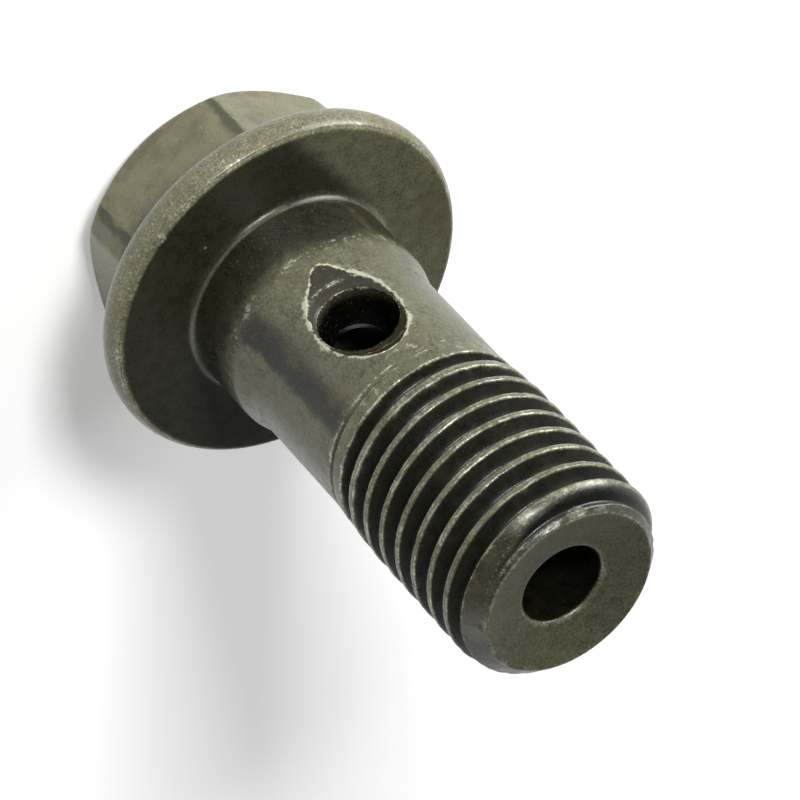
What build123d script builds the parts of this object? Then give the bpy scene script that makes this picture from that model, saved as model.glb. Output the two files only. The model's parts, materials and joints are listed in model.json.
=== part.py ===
from build123d import *

import math
import os

os.makedirs("parts", exist_ok=True)

# Frame: the flange's seat is the plane z = 0, and the shank points along +Z
# All sizes are in millimetres and degrees

# Hexagon head
across_flats = 15.0
corner_diameter = 16.4
head_height = 9.0
top_face_diameter = 13.3
top_chamfer_angle = 45.0
corner_turn = 24.6

# Flange under the head
flange_diameter = 21.1
seat_diameter = 20.3
rim_bulge_depth = 1.05
rim_thickness = 1.9
rim_back_round = 0.35
flange_back_angle = 30.0
seat_fillet = 0.45
foot_fillet = 1.6
foot_inset = 0.05

# Collar and shank
reach = 27.1
collar_diameter = 12.0
collar_length = 4.5
taper_length = 1.2
shank_diameter = 11.25

# Right-hand metric fine thread
major_diameter = 11.85
pitch = 1.5
flank_angle = 30.0
crest_width = 0.26
root_width = 0.25
lead_in_length = 3.35
full_depth_height = 14.8
full_depth_turn = -71.5
runout_turns = 1.1
runout_step = 0.03
tip_chamfer = 1.1

# Oil passages: a blind bore from the tip, and a hole that crosses it
bore_diameter = 4.6
bore_past_hole = 1.2
bore_mouth_round = 0.3
drill_point_angle = 118.0
tip_dish_depth = 0.6
tip_dish_diameter = 5.4
hole_diameter = 4.35
hole_height = 8.75
countersink_diameter = 6.7
countersink_angle = 128.0

# How far a cutter stands out of the metal: at a crest, at a countersink and past the tip
crest_clearance = 0.08
cutter_reach = 1.0
tip_overrun = 4.0

flat_distance = across_flats / 2
corner_radius = corner_diameter / 2
top_face_radius = top_face_diameter / 2
flange_radius = flange_diameter / 2
seat_radius = seat_diameter / 2
collar_radius = collar_diameter / 2
shank_radius = shank_diameter / 2
major_radius = major_diameter / 2
bore_radius = bore_diameter / 2
hole_radius = hole_diameter / 2
dish_floor = reach - tip_dish_depth


def climb(angle, run):
    """Rise over a run of a line that stands at this angle to it."""
    return run * math.tan(math.radians(angle))


def run_of(angle, rise):
    """Run over which a line at this angle gains a rise."""
    return rise / math.tan(math.radians(angle))


# The thread leaves the shank where its run-out ends
thread_start = full_depth_height - pitch * runout_turns

# Thread section: flats of the crest and root, joined by flanks
thread_depth = run_of(flank_angle, (pitch - crest_width - root_width) / 2)
root_radius = major_radius - thread_depth


def groove_outline(radius):
    """Outline of the thread groove, with its root at this radius."""
    root_half = root_width / 2
    mouth = radius + thread_depth + crest_clearance
    mouth_half = root_half + climb(flank_angle, mouth - radius)
    with BuildLine() as outline:
        Polyline(
            (radius, -root_half),
            (radius, root_half),
            (mouth, mouth_half),
            (mouth, -mouth_half),
            close=True,
        )
    return outline.line


# Full-depth groove, from where its run-out ends to well past the tip
with BuildPart() as groove:
    with BuildLine():
        groove_path = Helix(
            pitch,
            reach + tip_overrun - full_depth_height,
            root_radius,
            center=(0, 0, full_depth_height),
        )
    with BuildSketch(Plane(origin=(0, 0, full_depth_height), x_dir=(1, 0, 0), z_dir=(0, -1, 0))):
        add(groove_outline(root_radius))
        make_face()
    sweep(path=groove_path, is_frenet=True)

# Run-out, which sinks from clear of the crests and ends just inside the full-depth groove
sink_per_turn = (shank_radius - root_radius) / runout_turns
runout_radius = major_radius + crest_clearance
turns_before = (runout_radius - root_radius - runout_step) / sink_per_turn
turns_in_all = (runout_radius - root_radius - runout_step / 2) / sink_per_turn
runout_height = full_depth_height - pitch * turns_before
runout_cone = math.atan(sink_per_turn / pitch)

with BuildPart() as runout:
    with BuildLine():
        runout_path = Helix(
            pitch / math.cos(runout_cone),
            pitch * turns_in_all,
            runout_radius,
            center=(0, 0, runout_height),
            cone_angle=-math.degrees(runout_cone),
        )
    with BuildSketch(Plane(origin=(0, 0, runout_height), x_dir=(1, 0, 0), z_dir=(0, -1, 0))):
        add(groove_outline(runout_radius))
        make_face()
    sweep(path=runout_path, is_frenet=True)

# Threaded end: the grooves wind into a plain bar, which is then turned to size
threaded_base = thread_start - pitch

with BuildPart() as threaded_end:
    with BuildSketch(Plane.XY.offset(threaded_base)):
        Circle(major_radius + crest_clearance / 2)
    extrude(amount=reach + tip_overrun + pitch - threaded_base)
    add(groove.part, rotation=(0, 0, full_depth_turn), mode=Mode.SUBTRACT)
    add(runout.part, rotation=(0, 0, full_depth_turn - 360 * turns_before), mode=Mode.SUBTRACT)
    with BuildSketch(Plane.XZ):
        with BuildLine():
            Polyline(
                (0, threaded_base),
                (shank_radius, threaded_base),
                (shank_radius, thread_start),
                (major_radius, thread_start + lead_in_length),
                (major_radius, reach - tip_chamfer),
                (major_radius - tip_chamfer, reach),
                (tip_dish_diameter / 2, dish_floor),
                (0, dish_floor),
                close=True,
            )
        make_face()
    revolve(axis=Axis.Z, mode=Mode.INTERSECT)

# The bolt is forged, turned, threaded and drilled from one piece
with BuildPart() as oil_line_bolt:
    # Hexagon, with its top corners turned off by a cone
    with BuildSketch(Plane.XY.offset(-head_height)):
        RegularPolygon(flat_distance, 6, major_radius=False, rotation=corner_turn)
    extrude(amount=head_height - rim_thickness)
    with BuildSketch(Plane.XZ):
        with BuildLine():
            chamfer_rise = climb(top_chamfer_angle, corner_radius - top_face_radius)
            Polyline(
                (0, -head_height),
                (top_face_radius, -head_height),
                (corner_radius, chamfer_rise - head_height),
                (corner_radius, 0),
                (0, 0),
                close=True,
            )
        make_face()
    revolve(axis=Axis.Z, mode=Mode.INTERSECT)

    # Flange, collar, taper and plain shank
    with BuildSketch(Plane.XZ):
        with BuildLine():
            back_radius = flange_radius - rim_back_round
            back_angle = math.radians(flange_back_angle)
            foot_radius = flat_distance - foot_inset
            bend_radius = foot_radius + foot_fillet * (1 - math.sin(back_angle))
            bend_height = -rim_thickness - climb(flange_back_angle, back_radius - bend_radius)
            foot_height = bend_height - foot_fillet * math.cos(back_angle)
            fillet_mid = seat_fillet * (1 - math.sqrt(0.5))
            Line((0, foot_height), (foot_radius, foot_height))
            TangentArc((foot_radius, foot_height), (bend_radius, bend_height), tangent=(0, 1))
            Line((bend_radius, bend_height), (back_radius, -rim_thickness))
            ThreePointArc(
                (back_radius, -rim_thickness),
                (flange_radius - rim_back_round / 4, -(rim_thickness + rim_bulge_depth) / 2),
                (flange_radius, -rim_bulge_depth),
            )
            ThreePointArc(
                (flange_radius, -rim_bulge_depth),
                ((2 * flange_radius + seat_radius) / 3, -rim_bulge_depth / 3),
                (seat_radius, 0),
            )
            Line((seat_radius, 0), (collar_radius + seat_fillet, 0))
            ThreePointArc(
                (collar_radius + seat_fillet, 0),
                (collar_radius + fillet_mid, fillet_mid),
                (collar_radius, seat_fillet),
            )
            Polyline(
                (collar_radius, seat_fillet),
                (collar_radius, collar_length),
                (shank_radius, collar_length + taper_length),
                (shank_radius, threaded_base),
                (0, threaded_base),
                (0, foot_height),
            )
        make_face()
    revolve(axis=Axis.Z)

    add(threaded_end.part)

    # Blind bore with a rounded mouth and the cone that the drill leaves
    with BuildSketch(Plane.XZ):
        with BuildLine():
            bore_end = hole_height - hole_radius - bore_past_hole
            round_mid = bore_mouth_round * (1 - math.sqrt(0.5))
            Line((bore_radius + bore_mouth_round, reach), (bore_radius + bore_mouth_round, dish_floor))
            ThreePointArc(
                (bore_radius + bore_mouth_round, dish_floor),
                (bore_radius + round_mid, dish_floor - round_mid),
                (bore_radius, dish_floor - bore_mouth_round),
            )
            Polyline(
                (bore_radius, dish_floor - bore_mouth_round),
                (bore_radius, bore_end),
                (0, bore_end - run_of(drill_point_angle / 2, bore_radius)),
                (0, reach),
                (bore_radius + bore_mouth_round, reach),
            )
        make_face()
    revolve(axis=Axis.Z, mode=Mode.SUBTRACT)

    # Hole across the shank, countersunk on both sides
    hole_plane = Plane(origin=(0, 0, hole_height), x_dir=(0, 0, 1), z_dir=(1, 0, 0))
    with BuildSketch(hole_plane):
        with BuildLine():
            sink_radius = countersink_diameter / 2
            sink_slope = countersink_angle / 2
            sink_floor = shank_radius - run_of(sink_slope, sink_radius - hole_radius)
            sink_top = shank_radius + cutter_reach
            top_radius = sink_radius + climb(sink_slope, cutter_reach)
            Polyline(
                (0, -sink_top),
                (top_radius, -sink_top),
                (hole_radius, -sink_floor),
                (hole_radius, sink_floor),
                (top_radius, sink_top),
                (0, sink_top),
                close=True,
            )
        make_face()
    revolve(axis=Axis((0, 0, hole_height), (0, 1, 0)), mode=Mode.SUBTRACT)

oil_line_bolt.part.label = "oil_line_bolt"
export_step(oil_line_bolt.part, "parts/oil_line_bolt.step")
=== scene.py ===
import json
import math
from functools import reduce

import bmesh
import bpy
import numpy as np
from bpy.props import FloatProperty, FloatVectorProperty, IntProperty, PointerProperty
from mathutils import Matrix, Vector, noise


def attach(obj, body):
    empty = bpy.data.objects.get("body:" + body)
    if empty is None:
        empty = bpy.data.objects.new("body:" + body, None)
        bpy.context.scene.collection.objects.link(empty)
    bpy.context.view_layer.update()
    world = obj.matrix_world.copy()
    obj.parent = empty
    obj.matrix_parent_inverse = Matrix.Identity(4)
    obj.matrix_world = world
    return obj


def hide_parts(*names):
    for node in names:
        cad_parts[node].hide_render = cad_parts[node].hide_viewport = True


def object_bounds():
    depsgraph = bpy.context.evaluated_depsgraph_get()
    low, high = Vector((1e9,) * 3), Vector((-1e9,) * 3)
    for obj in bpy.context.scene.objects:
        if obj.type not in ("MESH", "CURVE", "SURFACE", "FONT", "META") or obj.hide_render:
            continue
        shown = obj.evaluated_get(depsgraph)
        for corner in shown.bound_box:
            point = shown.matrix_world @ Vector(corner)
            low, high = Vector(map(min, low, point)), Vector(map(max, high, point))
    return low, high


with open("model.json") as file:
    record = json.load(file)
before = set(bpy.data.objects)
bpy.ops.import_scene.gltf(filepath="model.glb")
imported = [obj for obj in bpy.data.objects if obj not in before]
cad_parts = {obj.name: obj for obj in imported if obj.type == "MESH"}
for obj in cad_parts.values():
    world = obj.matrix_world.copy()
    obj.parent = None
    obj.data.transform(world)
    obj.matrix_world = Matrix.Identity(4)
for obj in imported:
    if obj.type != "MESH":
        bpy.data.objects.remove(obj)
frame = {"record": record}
cad_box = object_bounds()

bl_info = {
    "name": "Oil line bolt",
    "version": (1, 0, 0),
    "blender": (4, 5, 0),
    "location": "3D View > Sidebar > Oil bolt",
    "description": "Surface detail, finish, stage and camera for a hollow flanged bolt",
    "category": "Object",
}

NODE = "oil_line_bolt"
MM = 0.001

# Small forms of the flange, tip and bore, in millimetres
RIM_ROUND = 0.35
RIM_THICKNESS = 1.9
RIM_BULGE = 1.05
SEAT_FILLET = 0.45
COLLAR_START = 0.5
FOOT_INSET = 0.05
LEAD_IN = 3.35
TIP_CHAMFER = 1.1
TIP_DISH = 0.6
MOUTH_ROUND = 0.3
BORE_PAST_HOLE = 1.2
FLANK = math.radians(30)

# Share of the way from the middle of a quarter round to its corner
ROUND_MID = 1 - math.sqrt(0.5)

# Rows of the thread's grid: how far past the groove's mouth, and shares of the way up its flank
CREST_ROWS = (-0.055, -0.005, 0.04)
FLANK_ROWS = (0.35, 0.68)

# Gap under which such a row joins the level ring beside it
SNAP = 0.03

# Numbers of nicks
RIM_NICKS, CORNER_NICKS, CREST_NICKS = 46, 18, 40

# Cross hole: radius at which the shank is unrolled, how far past the drilled wall the countersink's ridge
# stands, and half the turn of the gaps for its mouths in the grids of the shank and the bore
UNROLL = 5.8
RIDGE = 0.64
OUTER_WINDOW = math.radians(38)
BORE_WINDOW = math.radians(76)

# How dark each surface is painted, as a share of the coating's colour: the coating's own tone, and painted shade on
# the collar's foot, the hexagon's corners and the dark lines beside them, the band beside the oil hole, the groove,
# the bore and deep in the cross hole
TONES_AND_SHADE = {
    "collar": 0.2,
    "corner": 0.85,
    "corner_line": 0.34,
    "shank": 0.6,
    "streak": 0.12,
    "groove": 0.08,
    "tip_edge": 0.35,
    "tip": 0.68,
    "bore": 0.06,
    "sink": 0.08,
    "wall": 0.03,
    "rim": 0.95,
}

# Brown smudges and bare marks: centre and size in millimetres, and how far each axis is squeezed
SMUDGES = (
    ((-2.9, -5.17, 4.8), 0.55, (1.0, 1.0, 0.7)),
    ((-3.9, -4.55, 4.5), 0.6, (1.0, 1.0, 1.0)),
    ((-4.1, -4.4, 2.1), 0.45, (1.2, 1.2, 0.3)),
)
SEAT_SMUDGE = ((-9.3, 0.5, 0.0), 2.0, (1.6, 0.7, 1.0))
BARE_MARKS = (
    ((0.98, -5.92, 3.79), 0.32, (0.6, 1.0, 1.4)),
    ((2.28, -5.14, 9.19), 0.4, (1.0, 1.0, 1.0)),
    ((3.84, -4.61, 3.83), 0.22, (1.0, 1.0, 1.0)),
    ((3.81, -6.15, 0.0), 0.1, (1.0, 1.0, 1.0)),
    ((5.86, -8.32, -0.1), 0.3, (1.0, 1.0, 1.0)),
    ((-1.53, -4.82, 26.87), 0.5, (0.7, 1.0, 1.2)),
)

# Soft lights: name, place and size in metres, and power in watts
LAMPS = (
    ("top", (-0.06, -0.38, 0.30), (0.12, 0.12), 2.4),
    ("side", (-0.45, -0.20, 0.09), (0.3, 0.2), 2.7),
    ("fill", (0.4, 0.25, 0.12), (0.3, 0.3), 0.5),
)
LAMP_TARGET = (0, 0, 0.008)

# Camera fitted to the photograph: its right, down and forward axes, and a small turn that centres the picture
CAMERA_AXES = ((-0.8315, 0.1805, 0.5253), (0.4988, 0.6587, 0.5633), (-0.2444, 0.7304, -0.6378))
CAMERA_PLACE = (0.06279, -0.18869, 0.17481)
CAMERA_LENS = 225.0
CAMERA_TURN = (0.00102, 0.00096)


def mount(name):
    """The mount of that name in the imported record."""
    return next(m for m in frame["record"]["mounts"] if m["name"] == name)


def radius_of(name):
    """Radius of a round mount, in metres."""
    return mount(name)["dims"]["r_mm"] * MM


def length(name, text, value):
    """A property that holds a length in metres."""
    return FloatProperty(
        name=name, description=text, default=value, unit="LENGTH", subtype="DISTANCE", precision=6
    )


def angle(name, text, degrees):
    """A property that holds an angle."""
    return FloatProperty(name=name, description=text, default=math.radians(degrees), subtype="ANGLE")


def colour(name, text, value):
    """A property that holds a colour."""
    return FloatVectorProperty(name=name, description=text, size=4, subtype="COLOR", default=value)


class HeadSizes(bpy.types.PropertyGroup):
    """Sizes of the hexagon head and its flange."""

    flats: length("Across flats", "Width of the hexagon between two flats", 0.015)
    corners: length("Corner diameter", "Diameter to which the hexagon's corners are turned", 0.0164)
    top: length("Top face diameter", "Diameter of the head's flat top", 0.0133)
    corner_turn: angle("Corner turn", "Azimuth of one corner of the hexagon", 24.6)
    flange: length("Flange diameter", "Largest diameter of the flange", 0.0211)
    seat: length("Seat diameter", "Outer diameter of the flange's seat", 0.0203)
    back_angle: angle("Back angle", "Slope of the flange's back", 30.0)
    foot_fillet: length("Foot fillet", "Radius between the hexagon and the flange's back", 0.0016)


class ShankSizes(bpy.types.PropertyGroup):
    """Sizes of the collar, shank and oil passages."""

    collar: length("Collar radius", "Radius of the collar above the seat", radius_of("collar"))
    collar_end: length("Collar end", "Height at which the collar ends", 0.0045)
    taper_end: length("Taper end", "Height at which the shank's plain run begins", 0.0057)
    shank: length("Shank radius", "Radius of the plain shank", 0.005625)
    bore: length("Bore radius", "Radius of the bore from the tip", radius_of("oil_bore"))
    hole: length("Hole radius", "Radius of the hole across the shank", radius_of("cross_hole"))
    hole_height: length("Hole height", "Height of the cross hole's axis", mount("cross_hole")["pos_m"][2])
    sink: length("Countersink radius", "Radius of the countersink on the shank", 0.00335)
    sink_slope: angle("Countersink slope", "Half of the countersink's angle", 64.0)


class ThreadSizes(bpy.types.PropertyGroup):
    """Sizes of the thread."""

    pitch: length("Pitch", "Distance between two crests", 0.0015)
    major: length("Major radius", "Radius over the crests", 0.005925)
    crest: length("Crest width", "Width of the flat on a crest", 0.00026)
    root: length("Root width", "Width of the groove's floor", 0.00025)
    start: length("Full depth height", "Height at which the groove reaches full depth", 0.0148)
    start_turn: angle("Full depth turn", "Azimuth at which the groove reaches full depth", -71.5)
    runout: FloatProperty(
        name="Run-out turns", description="Turns over which the groove sinks into the shank", default=1.1
    )
    tip: length("Reach", "Height of the tip above the seat", 0.0271)


class FinishSettings(bpy.types.PropertyGroup):
    """Colours and wear of the coated steel."""

    coating: colour("Coating", "Colour of the dark coating", (0.128, 0.123, 0.070, 1.0))
    bare: colour("Bare steel", "Colour where the coating has worn off", (0.46, 0.46, 0.34, 1.0))
    stain: colour("Stain", "Colour of the brown oil film", (0.060, 0.045, 0.024, 1.0))
    seed: IntProperty(name="Wear seed", description="Seed of the dents, burrs and nicks", default=7)


def arc_points(start, through, end, count):
    """Points on the arc through three points, after the first and up to the last."""
    (ax, ay), (bx, by), (cx, cy) = start, through, end
    d = 2 * (ax * (by - cy) + bx * (cy - ay) + cx * (ay - by))
    ux = ((ax**2 + ay**2) * (by - cy) + (bx**2 + by**2) * (cy - ay) + (cx**2 + cy**2) * (ay - by)) / d
    uy = ((ax**2 + ay**2) * (cx - bx) + (bx**2 + by**2) * (ax - cx) + (cx**2 + cy**2) * (bx - ax)) / d
    first = math.atan2(ay - uy, ax - ux)
    sweep = math.remainder(math.atan2(cy - uy, cx - ux) - first, math.tau)
    size = math.hypot(ax - ux, ay - uy)
    turns = [first + sweep * (k + 1) / count for k in range(count)]
    return [(ux + size * math.cos(t), uy + size * math.sin(t)) for t in turns]


class Profile:
    """Rows of points, one point for each column of the turned grid, in millimetres."""

    def __init__(self, angles):
        self.angles = angles
        self.rows = []

    def row(self, r, z):
        ones = np.ones(len(self.angles))
        self.rows.append(np.stack([r * ones, z * ones], 1))

    def path(self, corners):
        """Rows along straight runs with rounded corners: (r, z, cut, bend rows, rows to the next corner)."""
        spots = [np.stack(np.broadcast_arrays(c[0], c[1], self.angles)[:2], 1) for c in corners]
        cuts = [c[2] for c in corners]
        for k, (r, z, cut, bend, run) in enumerate(corners):
            here = spots[k]
            leave = here
            if 0 < k < len(corners) - 1 and cut > 0:
                before = here - spots[k - 1]
                after = spots[k + 1] - here
                enter = here - before / np.linalg.norm(before, axis=1)[:, None] * cut
                leave = here + after / np.linalg.norm(after, axis=1)[:, None] * cut
                for b in range(bend + 1):
                    t = b / bend
                    self.rows.append((1 - t) ** 2 * enter + 2 * t * (1 - t) * here + t * t * leave)
            else:
                self.rows.append(here)
            if k < len(corners) - 1:
                run_on = spots[k + 1] - leave
                size = np.linalg.norm(run_on, axis=1)[:, None]
                target = spots[k + 1] - run_on / size * (cuts[k + 1] if k + 1 < len(corners) - 1 else 0)
                for s in range(1, run):
                    self.rows.append(leave + (target - leave) * s / run)


def column_angles(corner_turn, half_corner):
    """Azimuths of the grid's columns, with columns on both edges of each turned-back corner."""
    steps = [-half_corner + 2 * half_corner * k / 8 for k in range(8)]
    flat = math.tau / 6 - 2 * half_corner
    steps += [half_corner + flat * k / 28 for k in range(28)]
    return np.array([corner_turn + math.tau / 6 * side + s for side in range(6) for s in steps])


def turned_rows(head, shank, thread):
    """The body's outside from the head's top to the thread, and the tip and bore after it."""
    flat, corner, top = head.flats / MM / 2, head.corners / MM / 2, head.top / MM / 2
    half_corner = math.tau / 12 - math.acos(flat / corner)
    angles = column_angles(head.corner_turn, half_corner)
    side = np.mod(angles - head.corner_turn, math.tau / 6) - math.tau / 12
    gap = flat / np.cos(side) - corner
    hexagon = corner + (gap - np.sqrt(gap**2 + 0.04**2)) / 2
    low = cad_box[0].z / MM
    rim_edge, seat_edge = head.flange / MM / 2, head.seat / MM / 2
    back, back_z = rim_edge - RIM_ROUND, -RIM_THICKNESS
    slope, fillet = head.back_angle, head.foot_fillet / MM
    foot = flat - FOOT_INSET
    bend = foot + fillet * (1 - math.sin(slope))
    bend_z = back_z - (back - bend) * math.tan(slope)
    foot_z = bend_z - fillet * math.cos(slope)

    def flare(r):
        """Height of the flange's back at a radius."""
        hollow = foot_z + np.sqrt(np.maximum(fillet**2 - (foot + fillet - r) ** 2, 0))
        return np.where(r < bend, hollow, back_z - (back - r) * math.tan(slope))

    outside = Profile(angles)
    steps = [hexagon + (back - hexagon) * f for f in (0.06, 0.14, 0.23, 0.33, 0.44, 0.56, 0.7, 0.85)]
    corners = [(0.35, low, 0, 0, 8), (top, low, 0.25, 4, 4), (hexagon, low + hexagon - top, 0.2, 4, 14)]
    corners += [(hexagon, flare(hexagon), 0.14, 2, 1)]
    corners += [(r, flare(r), 0, 0, 1) for r in steps]
    corners += [(back, back_z, 0, 0, 1)]
    outside.path(corners)
    bulge = (rim_edge, -RIM_BULGE)
    for r, z in arc_points((back, back_z), (rim_edge - RIM_ROUND / 4, (back_z - RIM_BULGE) / 2), bulge, 7):
        outside.row(r, z)
    shoulder = arc_points(bulge, ((2 * rim_edge + seat_edge) / 3, -RIM_BULGE / 3), (seat_edge, 0.0), 8)
    for r, z in shoulder[:-1]:
        outside.row(r, z)
    collar, collar_end = shank.collar / MM, shank.collar_end / MM
    plain, taper_end = shank.shank / MM, shank.taper_end / MM
    foot_of_collar, mid = collar + SEAT_FILLET, SEAT_FILLET * ROUND_MID
    outside.path([(*shoulder[-2], 0, 0, 1), (seat_edge, 0.0, 0.1, 3, 14), (foot_of_collar, 0.0, 0, 0, 1)])
    for r, z in arc_points((foot_of_collar, 0), (collar + mid, mid), (collar, SEAT_FILLET), 6):
        outside.row(r, z)
    lowest = thread.start / MM - thread.pitch / MM * (thread.runout + 0.5)
    outside.path(
        [
            (collar, COLLAR_START, 0, 0, 26),
            (collar, collar_end, 0.3, 4, 4),
            (plain, taper_end, 0.35, 4, 44),
            (plain, lowest, 0, 0, 1),
        ]
    )
    inside = Profile(angles)
    reach, bore = thread.tip / MM, shank.bore / MM
    end = shank.hole_height / MM - shank.hole / MM - BORE_PAST_HOLE
    dish, mid = reach - TIP_DISH, MOUTH_ROUND * ROUND_MID
    inside.path(
        [
            (thread.major / MM - TIP_CHAMFER + 0.1, reach - 0.1, 0, 0, 1),
            (thread.major / MM - TIP_CHAMFER, reach, 0.07, 3, 12),
            (bore + 0.42, dish + 0.02, 0.1, 2, 1),
            (bore + MOUTH_ROUND, dish, 0, 0, 1),
        ]
    )
    for r, z in arc_points((bore + MOUTH_ROUND, dish), (bore + mid, dish - mid), (bore, dish - MOUTH_ROUND), 5):
        inside.row(r, z)
    inside.path([(bore, dish - 0.4, 0, 0, 40), (bore, end, 0.1, 2, 6), (0.12, end - bore * 0.6, 0, 0, 1)])
    return outside, inside


class Shell:
    """Vertices and faces of the bolt as they are laid down."""

    def __init__(self):
        self.points = []
        self.faces = []
        self.tags = []

    def add(self, points, **tags):
        """New vertices, each with its values of the tags, which are numbers or rows of numbers."""
        first = len(self.points)
        self.points.extend(map(tuple, points))
        values = {name: np.broadcast_to(value, len(points)) for name, value in tags.items()}
        self.tags.extend({name: value[k] for name, value in values.items()} for k in range(len(points)))
        return np.arange(first, len(self.points))

    def rings(self, rings):
        """Joins closed rings of equal count, one after the other."""
        for a, b in zip(rings, rings[1:]):
            for k in range(len(a)):
                n = (k + 1) % len(a)
                self.faces.append((a[k], a[n], b[n], b[k]))

    def zip(self, outer, outer_turns, inner, inner_turns):
        """Joins two closed rings of different counts, by the angle of their points about the hole."""
        n, m = len(outer), len(inner)
        a = np.unwrap(np.append(outer_turns, outer_turns[0] + math.tau))
        start = int(np.argmin(np.abs(np.remainder(inner_turns - a[0] + math.pi, math.tau) - math.pi)))
        inner = np.roll(inner, -start)
        b = np.unwrap(np.append(np.roll(inner_turns, -start), inner_turns[start] + math.tau))
        b += math.tau * round((a[0] - b[0]) / math.tau)
        i = j = 0
        while i < n or j < m:
            if j >= m or (i < n and a[i + 1] - a[0] <= b[j + 1] - b[0]):
                self.faces.append((outer[i % n], outer[(i + 1) % n], inner[j % m]))
                i += 1
            else:
                self.faces.append((outer[i % n], inner[(j + 1) % m], inner[j % m]))
                j += 1


def around(angles, rows):
    """Points of a profile's rows, as an array of rows by columns."""
    rows = np.array(rows)
    return np.stack([rows[:, :, 0] * np.cos(angles), rows[:, :, 0] * np.sin(angles), rows[:, :, 1]], 2)


def envelope(thread, shank, z):
    """Radius of the threaded end before its groove is pressed in."""
    start = thread.start / MM - thread.pitch / MM * thread.runout
    plain, major, reach = shank.shank / MM, thread.major / MM, thread.tip / MM
    knots = [start, start + LEAD_IN, reach - TIP_CHAMFER, reach]
    return np.interp(z, knots, [plain, major, major, major - TIP_CHAMFER])


def groove_depth(thread, shank):
    """Root radius of the full-depth groove, and how far the run-out sinks in a turn."""
    p, crest, root = thread.pitch / MM, thread.crest / MM, thread.root / MM
    full = thread.major / MM - (p - crest - root) / 2 / math.tan(FLANK)
    return full, (shank.shank / MM - full) / thread.runout


def lay_thread(shell, angles, thread, shank, low_ring, low_z, high_ring, high_z):
    """A grid whose rows follow the helix, between two level rings."""
    p, root_half = thread.pitch / MM, thread.root / MM / 2
    columns = len(angles)
    full, sink = groove_depth(thread, shank)
    turn = np.append(angles, angles[0] + math.tau) / math.tau - thread.start_turn / math.tau
    first = math.floor((low_z - thread.start / MM) / p - turn[-1]) - 1
    last = math.ceil((high_z - thread.start / MM) / p - turn[0]) + 1
    rows = []
    for n in range(first, last + 1):
        turns = turn + n
        centre = thread.start / MM + p * turns
        root = full + np.maximum(-turns, 0) * sink
        reach = envelope(thread, shank, centre)
        mouth = np.clip(root_half + (reach - root) * math.tan(FLANK), root_half + 0.2, p / 2 - 0.08)
        foot = np.full_like(mouth, root_half + 0.03)
        half = [np.zeros_like(mouth), foot - 0.065, foot]
        half += [foot + (mouth + CREST_ROWS[0] - foot) * share for share in FLANK_ROWS]
        half += [mouth + past for past in CREST_ROWS]
        offsets = [np.full_like(mouth, -p / 2)] + [-h for h in reversed(half[1:])] + half
        rows += [centre + o for o in offsets]
    heights = np.array(rows)
    step = len(offsets)
    ids = np.zeros(heights.shape, int)
    new = []
    for i in range(heights.shape[0]):
        for j in range(columns):
            z = heights[i, j]
            if z < low_z + SNAP:
                ids[i, j] = low_ring[j]
            elif z > high_z - SNAP:
                ids[i, j] = high_ring[j]
            else:
                ids[i, j] = -1 - len(new)
                new.append((j, z))
    a = angles[[j for j, _ in new]]
    z = np.array([z for _, z in new])
    r = envelope(thread, shank, z)
    spots = shell.add(np.stack([r * np.cos(a), r * np.sin(a), z], 1), thread=1.0)
    ids = np.where(ids < 0, spots[np.clip(-1 - ids, 0, len(spots) - 1)], ids)
    for i in range(heights.shape[0] - 1):
        for j in range(columns):
            if j < columns - 1:
                quad = [ids[i, j], ids[i, j + 1], ids[i + 1, j + 1], ids[i + 1, j]]
            elif i + step + 1 < heights.shape[0]:
                quad = [ids[i, j], ids[i + step, 0], ids[i + step + 1, 0], ids[i + 1, j]]
            else:
                continue
            face = [v for k, v in enumerate(quad) if v != quad[k - 1]]
            if len(set(face)) >= 3:
                shell.faces.append(tuple(face))


def bell(x, width):
    """A smooth hump at zero, 1 high."""
    return np.exp(-((x / width) ** 2))


def bisect(f, low, high):
    """Where f, an array function, changes sign between two values."""
    for _ in range(40):
        mid = (low + high) / 2
        above = f(mid) > 0
        high = np.where(above, mid, high)
        low = np.where(above, low, mid)
    return (low + high) / 2


def radius_at(rows):
    """A function that gives the outside's radius at a height between the fillet and the thread."""
    rows = np.array(rows)[:, 0]
    return lambda z: np.interp(z, rows[:, 1], rows[:, 0])


def window(ids, rows, columns):
    """Border of a block of grid points, in order round it."""
    (r0, r1), (c0, c1) = rows, columns
    count = ids.shape[1]
    cols = [c % count for c in range(c0, c1 + 1)]
    border = [ids[r0, c] for c in cols] + [ids[r, cols[-1]] for r in range(r0 + 1, r1 + 1)]
    border += [ids[r1, c] for c in reversed(cols[:-1])] + [ids[r, cols[0]] for r in range(r1 - 1, r0, -1)]
    return np.array(border)


def lay_grid(shell, ids, holes):
    """Faces of a grid of points, apart from its holes: blocks of rows and columns."""
    count = ids.shape[1]
    open_cells = set()
    for (r0, r1), (c0, c1) in holes:
        open_cells |= {(r, c % count) for r in range(r0, r1) for c in range(c0, c1)}
    for r in range(ids.shape[0] - 1):
        for c in range(count):
            if (r, c) not in open_cells:
                n = (c + 1) % count
                shell.faces.append((ids[r, c], ids[r, n], ids[r + 1, n], ids[r + 1, c]))


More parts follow.
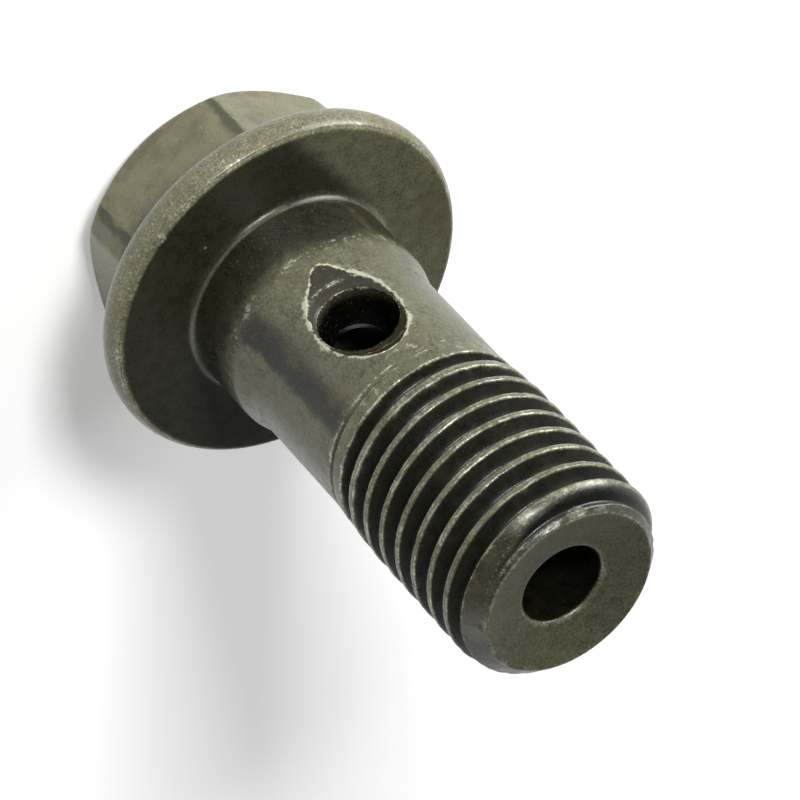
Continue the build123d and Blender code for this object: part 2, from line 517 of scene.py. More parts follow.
def lay_cross_hole(shell, shank, outer_radius, outer, outer_rows, inner, inner_rows, flip, seed):
    """One mouth of the cross hole: shank, countersink, drilled wall and the edge in the bore."""
    height, hole, bore = shank.hole_height / MM, shank.hole / MM, shank.bore / MM
    sink, slope, plain = shank.sink / MM, math.tan(shank.sink_slope), shank.shank / MM
    count = 200
    turn = np.arange(count) * math.tau / count
    cos, sin = np.cos(turn), np.sin(turn)
    depth = lambda rho: plain + (rho - sink) / slope
    miss = lambda rho: rho**2 * cos**2 + depth(rho) ** 2 - outer_radius(height + rho * sin) ** 2
    edge = bisect(miss, np.full(count, hole), np.full(count, 6.0))
    side = 1.0 if not flip else -1.0

    def place(x, y, z):
        return np.stack([x * side, -y * side, z * np.ones(len(x))], 1)

    def unroll(border, girth):
        """Places of a border's points along and up the surface, from the hole's axis."""
        spots = np.array([shell.points[k] for k in border])
        return np.arctan2(spots[:, 0] * side, -spots[:, 1] * side) * girth, spots[:, 2] - height

    rough, fine = (
        np.array([noise.noise(Vector((size * c, size * s, seed + at))) for c, s in zip(cos, sin)])
        for size, at in ((3.1, 0.0), (11, 3.0))
    )
    edge = edge + 0.02 * rough + 0.05 * fine + 0.03

    # Outside: from the window in the grid to the mouth's edge
    border = window(outer, *outer_rows)
    along, tall = unroll(border, UNROLL)
    wide = max(abs(along))
    top, bottom = tall.max(), tall.min()
    mouth_u = np.arctan2(edge * cos, depth(edge)) * UNROLL
    mouth_w = edge * sin
    size = np.hypot(mouth_u, mouth_w)
    away = np.stack([mouth_u / size, mouth_w / size], 1)
    across, up = away.T
    to_side = wide / np.maximum(np.abs(across), 1e-6)
    to_end = np.where(up > 0, top / np.maximum(up, 1e-6), bottom / np.minimum(up, -1e-6))
    limit = np.minimum(to_side, to_end)
    rings = []
    for share in (0.8, 0.55, 0.34, 0.2, 0.11, 0.05, 0.0):
        far = size + (limit - size) * share
        u, w = across * far, up * far
        r = outer_radius(height + w)
        lip = 0.045 * math.exp(-share / 0.05) * np.clip(0.5 + 1.4 * (rough + fine), 0, 1.5)
        wear = math.exp(-share / 0.11)
        points = place((r + lip) * np.sin(u / UNROLL), (r + lip) * np.cos(u / UNROLL), height + w)
        rings.append(shell.add(points, burr=wear))
        if share == 0.8:
            bearing = np.arctan2(w, u)
    shell.zip(border, np.arctan2(tall, along), rings[0], bearing)

    # Countersink, with the round ridges that the cutter left in it
    steps = np.concatenate([np.linspace(1.9, 0.8, 6), np.linspace(0.72, 0.56, 5), np.linspace(0.5, 0.0, 7)])
    for k, step in enumerate(steps):
        share = 1 - (k + 1) / len(steps)
        rho = hole + np.minimum(step, (edge - hole) * (0.04 + 0.94 * share if k < len(steps) - 1 else 0))
        out = rho - hole
        ridge = 0.035 * bell(out - RIDGE, 0.1) + 0.015 * bell(out - 0.17, 0.07)
        ridge += 0.02 * np.sin(rho * 34) * np.clip(out - 0.8, 0, 1)
        y = depth(rho) + ridge * np.clip((edge - rho) / 0.3, 0, 1)
        wear = bell(out - RIDGE, 0.08) * 0.38 + bell(out, 0.06) * 0.3 + bell(edge - rho, 0.08)
        rings.append(shell.add(place(rho * cos, y, height + rho * sin), burr=wear, sink=1.0))

    # Drilled wall, down to the bore
    stop = np.sqrt(bore**2 - (hole * cos) ** 2)
    start = depth(np.full(count, hole))
    for share in (0.04, 0.15, 0.3, 0.45, 0.6, 0.75, 0.88, 1.0):
        y = start + (stop - start) * share
        rings.append(shell.add(place(hole * cos, y, height + hole * sin), sink=0.6, deep=share))

    # Bore wall round the edge of the hole
    border = window(inner, *inner_rows)[::-1]
    along, tall = unroll(border, bore)
    bearing = np.arctan2(hole * sin, np.arctan2(hole * cos, stop) * bore)
    shell.rings(rings)
    shell.zip(border, np.arctan2(tall, along), rings[-1], bearing)


def nearest(values, target):
    """Index of the value nearest to the target."""
    return int(np.argmin(np.abs(np.asarray(values) - target)))


def lay_blank(sizes):
    """The whole bolt before its thread is pressed in, as one closed mesh."""
    head, shank, thread = sizes
    outside, inside = turned_rows(head, shank, thread)
    angles = outside.angles
    shell = Shell()
    out_points = around(angles, outside.rows)
    in_points = around(angles, inside.rows)
    outer = np.array([shell.add(row, thread=0.0) for row in out_points])
    inner = np.array([shell.add(row, thread=0.0) for row in in_points])
    height, bore_r = shank.hole_height / MM, shank.bore / MM

    def columns_at(turn, half):
        middle = int(np.argmin(np.abs(np.remainder(angles - turn + math.pi, math.tau) - math.pi)))
        spread = round(half / (math.tau / len(angles)))
        return middle - spread, middle + spread

    levels = out_points[:, 0, 2]
    seat_row = next(k for k in range(len(levels)) if abs(levels[k] - COLLAR_START) < 1e-6)
    low = seat_row + nearest(levels[seat_row:], height - 4.6)
    high = seat_row + nearest(levels[seat_row:], height + 3.66)
    deep = in_points[:, 0, 2]
    walls = [k for k in range(len(deep)) if abs(math.hypot(*in_points[k, 0, :2]) - bore_r) < 1e-6]
    in_high = walls[nearest(deep[walls], height + 2.55)]
    in_low = walls[nearest(deep[walls], height - 2.55)]
    outer_holes, inner_holes = [], []
    for turn in (-math.pi / 2, math.pi / 2):
        outer_holes.append(((low, high), columns_at(turn, OUTER_WINDOW)))
        inner_holes.append(((in_high, in_low), columns_at(turn, BORE_WINDOW)))
    lay_grid(shell, outer, outer_holes)
    lay_grid(shell, inner, inner_holes)
    lay_thread(shell, angles, thread, shank, outer[-1], out_points[-1, 0, 2], inner[0], in_points[0, 0, 2])
    skin = radius_at(outside.rows[seat_row:])
    for k in range(2):
        lay_cross_hole(shell, shank, skin, outer, outer_holes[k], inner, inner_holes[k], k == 1, 5.0 + 20 * k)
    top = shell.add([(0, 0, out_points[0, 0, 2])])[0]
    bottom = shell.add([(0, 0, in_points[-1, 0, 2] - 0.05)])[0]
    for j in range(len(angles)):
        n = (j + 1) % len(angles)
        shell.faces.append((top, outer[0][n], outer[0][j]))
        shell.faces.append((bottom, inner[-1][j], inner[-1][n]))
    return shell


def mesh_of(shell, name):
    """A mesh object from a shell, with its tags as attributes and its faces pointing outwards."""
    mesh = bpy.data.meshes.new(name)
    faces = [tuple(int(v) for v in face) for face in shell.faces]
    mesh.from_pydata([Vector(p) * MM for p in shell.points], [], faces)
    for tag in ("thread", "burr", "sink", "deep"):
        layer = mesh.attributes.new(tag, "FLOAT", "POINT")
        layer.data.foreach_set("value", np.array([t.get(tag, 0.0) for t in shell.tags], np.float32))
    work = bmesh.new()
    work.from_mesh(mesh)
    bmesh.ops.delete(work, geom=[v for v in work.verts if not v.link_faces], context="VERTS")
    bmesh.ops.recalc_face_normals(work, faces=work.faces)
    loose = [e for e in work.edges if len(e.link_faces) != 2]
    if loose:
        places = [tuple(round(c / MM, 2) for c in e.verts[0].co) for e in loose[:5]]
        raise RuntimeError(f"the bolt's mesh has {len(loose)} open edges, as at {places}")
    work.to_mesh(mesh)
    work.free()
    mesh.shade_smooth()
    piece = bpy.data.objects.new(name, mesh)
    bpy.context.scene.collection.objects.link(piece)
    return piece


def node_maker(tree):
    """Functions that add nodes to a tree and link them."""

    def add(kind, inputs=None, **settings):
        node = tree.nodes.new(kind)
        for key, value in settings.items():
            setattr(node, key, value)
        for key, value in (inputs or {}).items():
            if isinstance(value, bpy.types.NodeSocket):
                tree.links.new(value, node.inputs[key])
            else:
                node.inputs[key].default_value = value
        return node

    def maths(operation, *values, kind="ShaderNodeMath", clamp=False):
        node = add(kind, dict(enumerate(values)), operation=operation)
        node.use_clamp = clamp
        return node.outputs[0]

    return add, maths


def thread_tree(sizes):
    """Geometry nodes that press a helical groove, with its run-out, into a turned blank."""
    tree = bpy.data.node_groups.new("Thread groove", "GeometryNodeTree")
    face = tree.interface
    face.new_socket("Geometry", in_out="INPUT", socket_type="NodeSocketGeometry")
    for name, value in sizes.items():
        face.new_socket(name, in_out="INPUT", socket_type="NodeSocketFloat").default_value = value
    face.new_socket("Wear seed", in_out="INPUT", socket_type="NodeSocketInt")
    face.new_socket("Finish", in_out="INPUT", socket_type="NodeSocketMaterial")
    face.new_socket("Geometry", in_out="OUTPUT", socket_type="NodeSocketGeometry")
    add, maths = node_maker(tree)
    given = add("NodeGroupInput").outputs
    x, y, z = add("ShaderNodeSeparateXYZ", {0: add("GeometryNodeInputPosition").outputs[0]}).outputs
    tag = add("GeometryNodeInputNamedAttribute", {"Name": "thread"}, data_type="FLOAT")
    threaded = tag.outputs["Attribute"]
    radius = maths("SQRT", maths("ADD", maths("MULTIPLY", x, x), maths("MULTIPLY", y, y)))
    turn = maths("DIVIDE", maths("SUBTRACT", maths("ARCTAN2", y, x), given["Start turn"]), math.tau)
    rise = maths("DIVIDE", maths("SUBTRACT", z, given["Full depth height"]), given["Pitch"])
    turns = maths("ADD", turn, maths("ROUND", maths("SUBTRACT", rise, turn)))
    aside = maths("MULTIPLY", maths("ABSOLUTE", maths("SUBTRACT", rise, turns)), given["Pitch"])
    sunk = maths("MULTIPLY", maths("MAXIMUM", maths("MULTIPLY", turns, -1.0), 0.0), given["Sink per turn"])
    root = maths("ADD", given["Full root radius"], sunk)
    past = maths("SUBTRACT", aside, maths("MULTIPLY", given["Root width"], 0.5))
    eased = maths("SMOOTH_MAX", past, 0.0, given["Root rounding"])
    groove = maths("ADD", root, maths("MULTIPLY", eased, given["Flank slope"]))
    chips = add(
        "ShaderNodeTexNoise", {"Scale": 1400.0, "Detail": 2.0, "W": given["Wear seed"]}, noise_dimensions="4D"
    ).outputs[0]
    worn = maths("MULTIPLY", maths("MAXIMUM", maths("SUBTRACT", chips, 0.48), 0.0), given["Crest wear"])
    worn = maths("MULTIPLY", worn, 8.0)
    crest = maths("SUBTRACT", radius, worn)
    final = maths("SMOOTH_MIN", crest, groove, given["Crest rounding"])
    share = maths("DIVIDE", final, radius)
    moved = add("ShaderNodeCombineXYZ", {0: maths("MULTIPLY", x, share), 1: maths("MULTIPLY", y, share), 2: z})
    sunken = maths("MULTIPLY", maths("SUBTRACT", radius, final), threaded)
    depth = add(
        "GeometryNodeStoreNamedAttribute",
        {"Geometry": given["Geometry"], "Name": "groove", "Value": sunken},
        data_type="FLOAT",
        domain="POINT",
    )
    pressed = add(
        "GeometryNodeSetPosition",
        {
            "Geometry": depth.outputs[0],
            "Selection": maths("GREATER_THAN", threaded, 0.5),
            "Position": moved.outputs[0],
        },
    )
    real = add("GeometryNodeRealizeInstances", {"Geometry": pressed.outputs[0]})
    painted = add("GeometryNodeSetMaterial", {"Geometry": real.outputs[0], "Material": given["Finish"]})
    add("NodeGroupOutput", {"Geometry": painted.outputs[0]})
    return tree


def press_thread(piece, thread, shank, finish, material):
    """Runs the thread tree on the blank and keeps the result as a plain mesh."""
    full, sink = groove_depth(thread, shank)
    sizes = {
        "Pitch": thread.pitch,
        "Full root radius": full * MM,
        "Root width": thread.root,
        "Full depth height": thread.start,
        "Start turn": thread.start_turn,
        "Sink per turn": sink * MM,
        "Flank slope": 1 / math.tan(FLANK),
        "Crest rounding": 0.00003,
        "Root rounding": 0.00004,
        "Crest wear": 0.00003,
    }
    values = {**sizes, "Wear seed": finish.seed, "Finish": material}
    tree = thread_tree(sizes)
    modifier = piece.modifiers.new("Thread groove", "NODES")
    modifier.node_group = tree
    for socket in tree.interface.items_tree:
        if socket.in_out == "INPUT" and socket.name in values:
            modifier[socket.identifier] = values[socket.name]
    graph = bpy.context.evaluated_depsgraph_get()
    mesh = bpy.data.meshes.new_from_object(piece.evaluated_get(graph))
    piece.modifiers.remove(modifier)
    piece.data = mesh
    mesh.shade_smooth()


def vertex_arrays(mesh):
    """Places, normals and edges of a mesh as arrays, the places in millimetres."""
    places = np.empty(len(mesh.vertices) * 3)
    normals = np.empty(len(mesh.vertices) * 3)
    edges = np.empty(len(mesh.edges) * 2, int)
    mesh.vertices.foreach_get("co", places)
    mesh.vertices.foreach_get("normal", normals)
    mesh.edges.foreach_get("vertices", edges)
    return places.reshape(-1, 3) / MM, normals.reshape(-1, 3), edges.reshape(-1, 2)


def dent(mesh, head, thread, seed):
    """Presses small nicks into the flange's rim, the hexagon's corners and the crests."""
    places, normals, _ = vertex_arrays(mesh)
    rng = np.random.default_rng(seed)
    rim, corner = head.flange / MM / 2, head.corners / MM / 2
    spots = []

    def nick(turn, r, z, sizes, depths):
        spots.append((r * math.cos(turn), r * math.sin(turn), z, rng.uniform(*sizes), rng.uniform(*depths)))

    for _ in range(RIM_NICKS):
        turn, z = rng.uniform(0, math.tau), rng.choice([-1.75, -1.3, -0.8, -0.3])
        nick(turn, rim - (0.3 if z in (-1.75, -0.3) else 0.05), z, (0.12, 0.4), (0.02, 0.07))
    for _ in range(CORNER_NICKS):
        turn = head.corner_turn + math.tau / 6 * rng.integers(6) + rng.uniform(-0.09, 0.09)
        nick(turn, corner, rng.uniform(-7.6, -4), (0.15, 0.4), (0.02, 0.05))
    for _ in range(CREST_NICKS):
        nick(rng.uniform(0, math.tau), thread.major / MM, rng.uniform(15, 26), (0.15, 0.3), (0.02, 0.06))
    moved = places.copy()
    for x, y, z, size, depth in spots:
        away = np.linalg.norm(places - (x, y, z), axis=1)
        near = away < size
        moved[near] -= normals[near] * (depth * (1 - (away[near] / size) ** 2) ** 2)[:, None]
    mesh.vertices.foreach_set("co", (moved * MM).ravel())
    mesh.update()


def mark_edges(mesh):
    """Stores how sharply each point stands out, for the wear of the coating."""
    places, normals, edges = vertex_arrays(mesh)
    a, b = edges.T
    along = places[a] - places[b]
    size = np.maximum((along**2).sum(1), 1e-6)
    bend = np.zeros(len(places))
    np.maximum.at(bend, a, 2 * (normals[a] * along).sum(1) / size)
    np.maximum.at(bend, b, -2 * (normals[b] * along).sum(1) / size)
    edge = np.clip((bend - 0.6) / 5, 0, 1)
    spread = edge.copy()
    np.maximum.at(spread, a, edge[b] * 0.4)
    np.maximum.at(spread, b, edge[a] * 0.4)
    mesh.attributes.new("edge", "FLOAT", "POINT").data.foreach_set("value", spread.astype(np.float32))


def speckle_group():
    """Shader group: a mask of fine specks, of a given size and share."""
    tree = bpy.data.node_groups.new("Speckle", "ShaderNodeTree")
    face = tree.interface
    face.new_socket("Place", in_out="INPUT", socket_type="NodeSocketVector")
    for name, value in (("Size", 0.2), ("Level", 0.55), ("Softness", 0.1)):
        face.new_socket(name, in_out="INPUT", socket_type="NodeSocketFloat").default_value = value
    face.new_socket("Mask", in_out="OUTPUT", socket_type="NodeSocketFloat")
    add, maths = node_maker(tree)
    given = add("NodeGroupInput").outputs
    scale = maths("DIVIDE", 1.0, given["Size"])
    field = add("ShaderNodeTexNoise", {"Vector": given["Place"], "Scale": scale, "Detail": 3.0, "Roughness": 0.6})
    high = maths("ADD", given["Level"], given["Softness"])
    inputs = {"Value": field.outputs[0], "From Min": given["Level"], "From Max": high}
    mask = add("ShaderNodeMapRange", inputs, interpolation_type="SMOOTHSTEP")
    add("NodeGroupOutput", {"Mask": mask.outputs[0]})
    return tree


class Finish:
    """Shader nodes of the coated steel, which place its marks in millimetres on the part."""

    def __init__(self, tree):
        self.tree = tree
        self.add, self.maths = node_maker(tree)
        self.specks = speckle_group()
        coords = self.add("ShaderNodeTexCoord").outputs["Object"]
        self.place = self.add("ShaderNodeVectorMath", {0: coords, 3: 1 / MM}, operation="SCALE").outputs[0]
        self.x, self.y, self.z = self.add("ShaderNodeSeparateXYZ", {0: self.place}).outputs
        self.radius = self.maths("SQRT", self.total(self.both(self.x, self.x), self.both(self.y, self.y)))
        self.sink, self.deep = self.tag("sink"), self.tag("deep")
        self.grain = self.cloud(0.13, 3.0, 0.75)
        self.chips = self.cloud(0.15, 3.0, 0.7)
        self.blotch = self.cloud(0.7, 4.0, 0.6)

    def both(self, *masks):
        return reduce(lambda a, b: self.maths("MULTIPLY", a, b), masks)

    def total(self, *values):
        return reduce(lambda a, b: self.maths("ADD", a, b), values)

    def most(self, *values):
        return reduce(lambda a, b: self.maths("MAXIMUM", a, b), values)

    def sway(self, field, width):
        """How far a noise field is from its middle, times a width."""
        return self.maths("MULTIPLY", self.maths("SUBTRACT", field, 0.5), width)

    def step(self, value, low, high, a=0.0, b=1.0):
        """A smooth change from a to b while the value goes from low to high."""
        inputs = {"Value": value, "From Min": low, "From Max": high, "To Min": a, "To Max": b}
        return self.add("ShaderNodeMapRange", inputs, interpolation_type="SMOOTHSTEP").outputs[0]

    def band(self, value, low, full_low, full_high, high):
        """1 between the two full values, falling to 0 at the outer two."""
        return self.both(self.step(value, low, full_low), self.step(value, full_high, high, 1.0, 0.0))

    def dim(self, mask, level):
        """1 off a mask and the level on it."""
        return self.step(mask, 0.0, 1.0, 1.0, level)

    def blend(self, share, a, b, mode="MIX"):
        mix = self.add("ShaderNodeMix", {0: share, 6: a, 7: b}, data_type="RGBA", blend_type=mode, clamp_factor=True)
        return mix.outputs[2]

    def tag(self, name):
        return self.add("ShaderNodeAttribute", attribute_name=name).outputs["Fac"]

    def cloud(self, size, detail=2.0, roughness=0.5, squeeze=None):
        """Noise of a given size, in millimetres."""
        where = self.place
        if squeeze:
            where = self.add("ShaderNodeVectorMath", {0: where, 1: squeeze}, operation="MULTIPLY").outputs[0]
        inputs = {"Vector": where, "Scale": 1 / size, "Detail": detail, "Roughness": roughness}
        return self.add("ShaderNodeTexNoise", inputs).outputs[0]

    def speckle(self, size, level, softness=0.08):
        """Fine specks: the higher the level, the fewer."""
        node = self.add("ShaderNodeGroup", node_tree=self.specks)
        self.tree.links.new(self.place, node.inputs["Place"])
        for key, value in (("Size", size), ("Level", level), ("Softness", softness)):
            node.inputs[key].default_value = value
        return node.outputs["Mask"]

    def spot(self, centre, size, squeeze):
        """A ragged patch round a point."""
        away = self.add("ShaderNodeVectorMath", {0: self.place, 1: centre}, operation="SUBTRACT").outputs[0]
        away = self.add("ShaderNodeVectorMath", {0: away, 1: squeeze}, operation="MULTIPLY").outputs[0]
        far = self.add("ShaderNodeVectorMath", {0: away}, operation="LENGTH").outputs["Value"]
        ragged = self.total(far, self.sway(self.chips, size * 1.6))
        return self.step(ragged, size * 0.6, size, 1.0, 0.0)

    def surfaces(self, corner_turn):
        """A mask for each surface and each patch of painted shade, from its radius, height and turn."""
        both, step, band, z, radius = self.both, self.step, self.band, self.z, self.radius
        turn = self.maths("MULTIPLY", self.maths("ARCTAN2", self.y, self.x), 180 / math.pi)
        slim = step(radius, 6.15, 6.3, 1.0, 0.0)
        # The groove, bore and wall masks also carry painted shade in the thread's grooves, in the bore and deep in the
        # cross hole
        on = {
            "seat": both(band(radius, 6.02, 6.1, 9.95, 10.25), band(z, -0.4, -0.1, 0.3, 0.5)),
            "chamfer": both(step(z, -7.5, -7.3, 1.0, 0.0), step(radius, 6.5, 6.8)),
            "groove": step(self.tag("groove"), 0.00003, 0.00016),
            "shank": both(step(z, 0.1, 0.3), slim),
            "tip_edge": both(step(z, 25.9, 26.1), step(radius, 4.75, 4.95)),
            "bore": both(band(z, 3.0, 3.5, 26.2, 26.5), step(radius, 2.4, 2.6, 1.0, 0.0)),
            "tip": both(step(z, 26.4, 26.55), step(radius, 4.7, 4.9, 1.0, 0.0)),
            "sink": step(self.sink, 0.1, 1.0),
            "wall": step(self.deep, 0.0, 0.3),
        }
        on["rim"] = both(step(radius, 9.7, 10.2), step(z, -2.3, -1.9), self.maths("SUBTRACT", 1.0, on["seat"]))

        # Painted shade at each corner of the hexagon: a slightly darker band, with a dark line beside it
        sixth = self.maths("DIVIDE", self.maths("SUBTRACT", turn, math.degrees(corner_turn)), 60.0)
        from_corner = self.maths("MULTIPLY", self.maths("SUBTRACT", sixth, self.maths("ROUND", sixth)), 60.0)
        near = step(self.maths("ABSOLUTE", from_corner), 5.4, 6.4, 1.0, 0.0)
        on["corner"] = both(near, step(z, -3.0, -2.4, 1.0, 0.0), step(radius, 7.3, 7.8))
        bent = self.total(from_corner, self.sway(self.cloud(1.6, 4.0, 0.65), 9.0))
        on["corner_line"] = both(band(bent, -7.0, -3.8, -3.6, 1.5), on["corner"])

        # Painted shade: a dark band along the shank beside the oil hole, and the darkened foot of the collar next to
        # the seat
        shade_band_turn = self.total(turn, self.sway(self.blotch, 4.0))
        on["streak"] = both(band(shade_band_turn, -62.0, -43.0, -39.0, -31.0), band(z, 3.6, 4.6, 12.4, 14.2))
        wisps = self.cloud(2.4, 2.0, 0.4, (1.0, 1.0, 0.4))
        collar_height = self.total(z, self.sway(wisps, 3.0))
        on["collar"] = both(step(z, 0.3, 0.5), step(collar_height, 2.6, 5.0, 1.0, 0.0), slim)
        return on

    def coating(self, on, colour):
        """Olive-grey coating with grain and blotches, its tone on each surface, and painted shade and a painted
        reflection where the masks put them.
        """
        both, total = self.both, self.total
        fine = total(self.sway(self.grain, 3.0), self.sway(self.blotch, 1.3))
        tone = total(both(fine, self.step(self.z, -1.9, -1.7, 0.45, 1.0)), 1.0)
        tone = self.most(total(tone, self.sway(self.cloud(5.0, 2.0), 0.7)), 0.15)

        # The seat is painted dark, partly its own dark coating and partly painted shade, and paler on one side as a
        # painted reflection
        aside = total(both(self.x, 0.91), both(self.maths("MINIMUM", self.y, -3.0), 0.41))
        painted_reflection_side = self.step(aside, -7.2, -5.6, 1.0, 0.0)
        seat_painted_light = self.step(painted_reflection_side, 0.0, 1.0, 0.14, 0.62)
        tone = both(tone, total(both(on["seat"], self.maths("SUBTRACT", seat_painted_light, 1.0)), 1.0))
        # Each surface's own tone, and painted shade in the hollows, at the corners and beside the oil hole
        for name, level in TONES_AND_SHADE.items():
            tone = both(tone, self.dim(on[name], level))
        shade = self.add("ShaderNodeCombineXYZ", {0: tone, 1: tone, 2: tone}).outputs[0]
        return self.blend(1.0, colour, shade, "MULTIPLY")

    def film(self, on):
        """Share of brown oil film, stains and smudges."""
        both, most, step, dim = self.both, self.most, self.step, self.dim
        film = both(step(self.cloud(1.8, 3.0, 0.6), 0.52, 0.75), 0.6)
        for name, level in (("seat", 0.1), ("tip", 0.2), ("groove", 0.2), ("bore", 0.1), ("collar", 0.1)):
            film = both(film, dim(on[name], level))
        film = both(film, step(self.sink, 0.1, 0.5, 1.0, 0.3))
        film = most(film, both(on["sink"], 0.25, step(self.deep, 0.0, 0.3, 1.0, 0.0)))
        film = most(film, both(on["chamfer"], 0.5, step(self.cloud(1.0, 3.0, 0.6), 0.35, 0.6)))
        film = most(film, both(on["rim"], 0.35, step(self.cloud(0.7, 3.0, 0.6), 0.4, 0.65)))
        film = most(film, both(self.spot(*SEAT_SMUDGE), 0.45))
        for smudge in SMUDGES:
            film = most(film, both(self.spot(*smudge), 0.8, step(self.grain, 0.35, 0.6)))
        return film

    def wear(self, on):
        """Share of bare metal: on every edge, on the rim and round the oil hole."""
        both, total, most, step, dim = self.both, self.total, self.most, self.step, self.dim
        on_edge = both(self.tag("edge"), dim(on["rim"], 0.05 / 0.27), 0.27, step(self.sink, 0.1, 1.0, 1.0, 0.2))
        thin = total(on_edge, both(on["rim"], 0.10))
        thin = both(thin, total(both(self.cloud(0.9, 2.0, 0.5), 3.0), -0.55))
        ragged = self.maths("SUBTRACT", both(self.cloud(0.55, 3.0, 0.6), 2.8), 1.05)
        thin = total(thin, both(self.tag("burr"), ragged))
        worn = both(step(total(thin, self.chips), 0.60, 0.95), dim(on["groove"], 0.15), dim(on["seat"], 0.2))
        collar_edge = both(self.band(self.z, 3.4, 3.8, 3.9, 4.4), step(self.radius, 5.8, 5.95))
        worn = most(worn, both(collar_edge, self.speckle(0.3, 0.56), 0.5))
        worn = most(worn, both(self.speckle(0.14, 0.68), 0.3, dim(on["groove"], 0.3)))
        for mark in BARE_MARKS:
            worn = most(worn, both(self.spot(*mark), step(self.grain, 0.38, 0.62)))

        # Less on the crests, and least on the last turns
        crests = both(step(self.z, 14.5, 16.5, 0.85, 0.6), step(self.z, 23.6, 24.8, 1.0, 0.65))
        return both(worn, dim(on["bore"], 0.2), crests)

    def roughness(self, on):
        """Dull tip, glossier countersink and a little unevenness elsewhere."""
        rough = self.total(0.29, self.sway(self.blotch, 0.25), self.both(on["tip"], 0.25), self.both(self.sink, -0.12))
        return self.most(rough, 0.2)

    def relief(self, worn):
        """Grain and pits, lower where the coating has worn off."""
        height = self.total(self.both(self.grain, 0.010), self.both(self.chips, 0.006), self.both(worn, -0.004))
        return self.add("ShaderNodeBump", {"Strength": 1.0, "Distance": 0.001, "Height": height}).outputs[0]


def finish_material(settings, corner_turn):
    """Dark coated steel, worn bright at its edges."""
    material = bpy.data.materials.new("Coated steel")
    material.use_nodes = True
    tree = material.node_tree
    inputs = tree.nodes["Principled BSDF"].inputs
    finish = Finish(tree)
    on = finish.surfaces(corner_turn)
    worn = finish.wear(on)
    colour = finish.coating(on, tuple(settings.coating))
    colour = finish.blend(finish.film(on), colour, tuple(settings.stain))
    colour = finish.blend(worn, colour, tuple(settings.bare))
    tree.links.new(colour, inputs["Base Color"])
    tree.links.new(finish.roughness(on), inputs["Roughness"])
    tree.links.new(finish.both(worn, 0.6), inputs["Metallic"])
    tree.links.new(finish.relief(worn), inputs["Normal"])
    inputs["Specular IOR Level"].default_value = 0.35
    return material


class OILBOLT_OT_body(bpy.types.Operator):
    """Build the bolt's body over its CAD part: turned blank, thread, cross hole and finish"""

    bl_idname = "oilbolt.body"
    bl_label = "Bolt body"

    def execute(self, context):
        scene = context.scene
        head, shank, thread = scene.oilbolt_head, scene.oilbolt_shank, scene.oilbolt_thread
        material = finish_material(scene.oilbolt_finish, head.corner_turn)
        piece = mesh_of(lay_blank((head, shank, thread)), "bolt_body")
        press_thread(piece, thread, shank, scene.oilbolt_finish, material)
        dent(piece.data, head, thread, scene.oilbolt_finish.seed)
        mark_edges(piece.data)
        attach(piece, "root")
        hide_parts(NODE)
        return {"FINISHED"}


def look():
    """The camera that took the photograph."""
    right, down, forward = (Vector(axis).normalized() for axis in CAMERA_AXES)
    data = bpy.data.cameras.new("Photo camera")
    data.lens = CAMERA_LENS
    data.sensor_width = 36.0
    data.clip_start = 0.01
    data.clip_end = 20.0
    camera = bpy.data.objects.new("Photo camera", data)
    aim = (forward + right * CAMERA_TURN[0] + down * CAMERA_TURN[1]).normalized()
    right = (right - aim * right.dot(aim)).normalized()
    up = (-aim).cross(right).normalized()
    camera.matrix_world = Matrix.Translation(CAMERA_PLACE) @ Matrix((right, up, -aim)).transposed().to_4x4()
    bpy.context.scene.collection.objects.link(camera)
    bpy.context.scene.camera = camera


def softbox(name, place, size, power):
    """A soft light that faces the bolt."""
    data = bpy.data.lights.new(name, "AREA")
    data.shape = "RECTANGLE"
    data.size, data.size_y = size
    data.energy = power
    lamp = bpy.data.objects.new(name, data)
    lamp.location = place
    lamp.rotation_euler = (Vector(LAMP_TARGET) - Vector(place)).to_track_quat("-Z", "Y").to_euler()
    bpy.context.scene.collection.objects.link(lamp)


def seen_rays(add, maths):
    """1 for the rays that show a thing to the camera, straight or by a reflection, and 0 for its light on others."""
    path = add("ShaderNodeLightPath").outputs
    mirrored = maths("MAXIMUM", path["Is Glossy Ray"], path["Is Transmission Ray"])
    return maths("MAXIMUM", path["Is Camera Ray"], mirrored)


def floor_material():
    """White matt floor, lifted for the camera and for reflections, and more so far from the bolt."""
    paint = bpy.data.materials.new("Pale floor")
    paint.use_nodes = True
    tree = paint.node_tree
    tree.nodes.clear()
    add, maths = node_maker(tree)
    matt = add("ShaderNodeBsdfDiffuse", {"Color": (0.9, 0.9, 0.9, 1)})
    coords = add("ShaderNodeTexCoord").outputs["Object"]
    far = add("ShaderNodeVectorMath", {0: coords}, operation="LENGTH").outputs["Value"]
    inputs = {"Value": far, "From Min": 0.08, "From Max": 0.5, "To Min": 0.28, "To Max": 0.8}
    lift = add("ShaderNodeMapRange", inputs).outputs[0]
    strength = maths("MULTIPLY", seen_rays(add, maths), lift)
    glow = add("ShaderNodeEmission", {"Color": (1, 1, 1, 1), "Strength": strength})
    total = add("ShaderNodeAddShader", {0: matt.outputs[0], 1: glow.outputs[0]})
    add("ShaderNodeOutputMaterial", {"Surface": total.outputs[0]})
    return paint


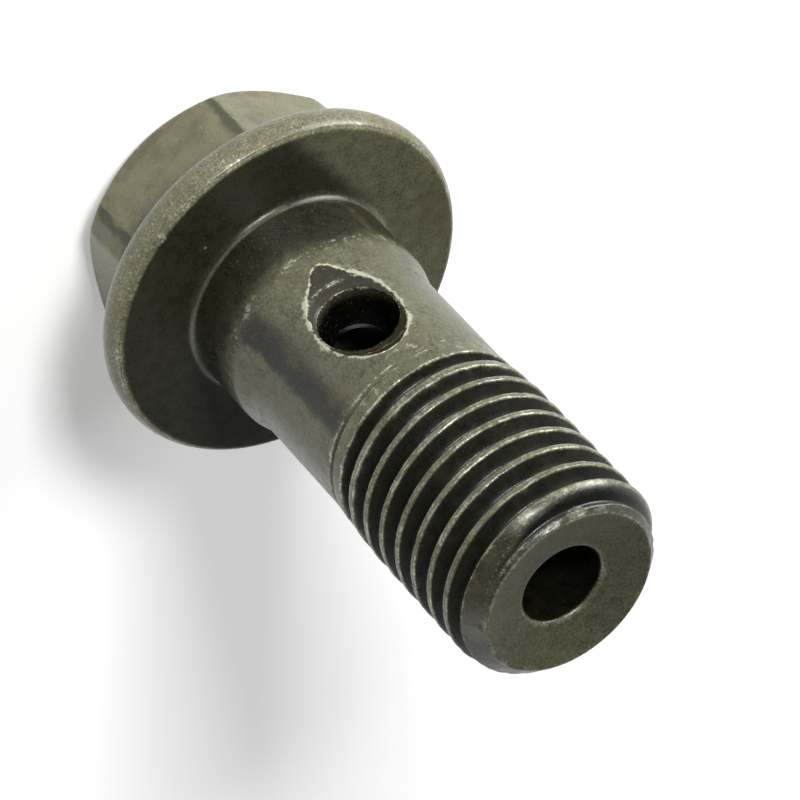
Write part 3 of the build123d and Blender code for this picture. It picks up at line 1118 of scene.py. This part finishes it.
def studio_world():
    """White round the horizon and dimmer overhead, like a lit cove."""
    world = bpy.data.worlds.new("Studio")
    world.use_nodes = True
    tree = world.node_tree
    tree.nodes.clear()
    add, maths = node_maker(tree)
    height = add("ShaderNodeSeparateXYZ", {0: add("ShaderNodeTexCoord").outputs["Generated"]}).outputs[2]
    inputs = {"Value": height, "From Min": 0.2, "From Max": 0.6, "To Min": 1.0, "To Max": 0.2}
    level = add("ShaderNodeMapRange", inputs, interpolation_type="SMOOTHSTEP").outputs[0]
    share = maths("ADD", maths("MULTIPLY", seen_rays(add, maths), 0.6), 0.4)
    sky = add("ShaderNodeBackground", {"Color": (1, 1, 1, 1), "Strength": maths("MULTIPLY", level, share)})
    add("ShaderNodeOutputWorld", {"Surface": sky.outputs[0]})
    return world


class OILBOLT_OT_stage(bpy.types.Operator):
    """Set the pale floor, the soft studio light and the camera"""

    bl_idname = "oilbolt.stage"
    bl_label = "Stage"

    def execute(self, context):
        bpy.ops.mesh.primitive_plane_add(size=4.0, location=(0, 0, 0))
        floor = context.object
        floor.name = "floor"
        floor.data.transform(Matrix.Translation((0, 0, cad_box[0].z)))
        floor.data.materials.append(floor_material())
        context.scene.world = studio_world()
        for lamp in LAMPS:
            softbox(*lamp)
        look()
        context.scene.view_settings.view_transform = "Standard"
        return {"FINISHED"}


class OILBOLT_PT_panel(bpy.types.Panel):
    """Sizes and steps of the oil line bolt"""

    bl_idname = "OILBOLT_PT_panel"
    bl_label = "Oil line bolt"
    bl_space_type = "VIEW_3D"
    bl_region_type = "UI"
    bl_category = "Oil bolt"

    def draw(self, context):
        for name in GROUPS:
            box = self.layout.box()
            settings = getattr(context.scene, name)
            for field in settings.__annotations__:
                box.prop(settings, field)
        for operator in (OILBOLT_OT_body, OILBOLT_OT_stage):
            self.layout.operator(operator.bl_idname)


GROUPS = {
    "oilbolt_head": HeadSizes,
    "oilbolt_shank": ShankSizes,
    "oilbolt_thread": ThreadSizes,
    "oilbolt_finish": FinishSettings,
}
CLASSES = (*GROUPS.values(), OILBOLT_OT_body, OILBOLT_OT_stage, OILBOLT_PT_panel)


def register():
    for cls in CLASSES:
        bpy.utils.register_class(cls)
    for name, cls in GROUPS.items():
        setattr(bpy.types.Scene, name, PointerProperty(type=cls))


def unregister():
    for name in GROUPS:
        delattr(bpy.types.Scene, name)
    for cls in reversed(CLASSES):
        bpy.utils.unregister_class(cls)


def main():
    register()
    bpy.ops.oilbolt.body()
    bpy.ops.oilbolt.stage()


if __name__ == "__main__":
    main()
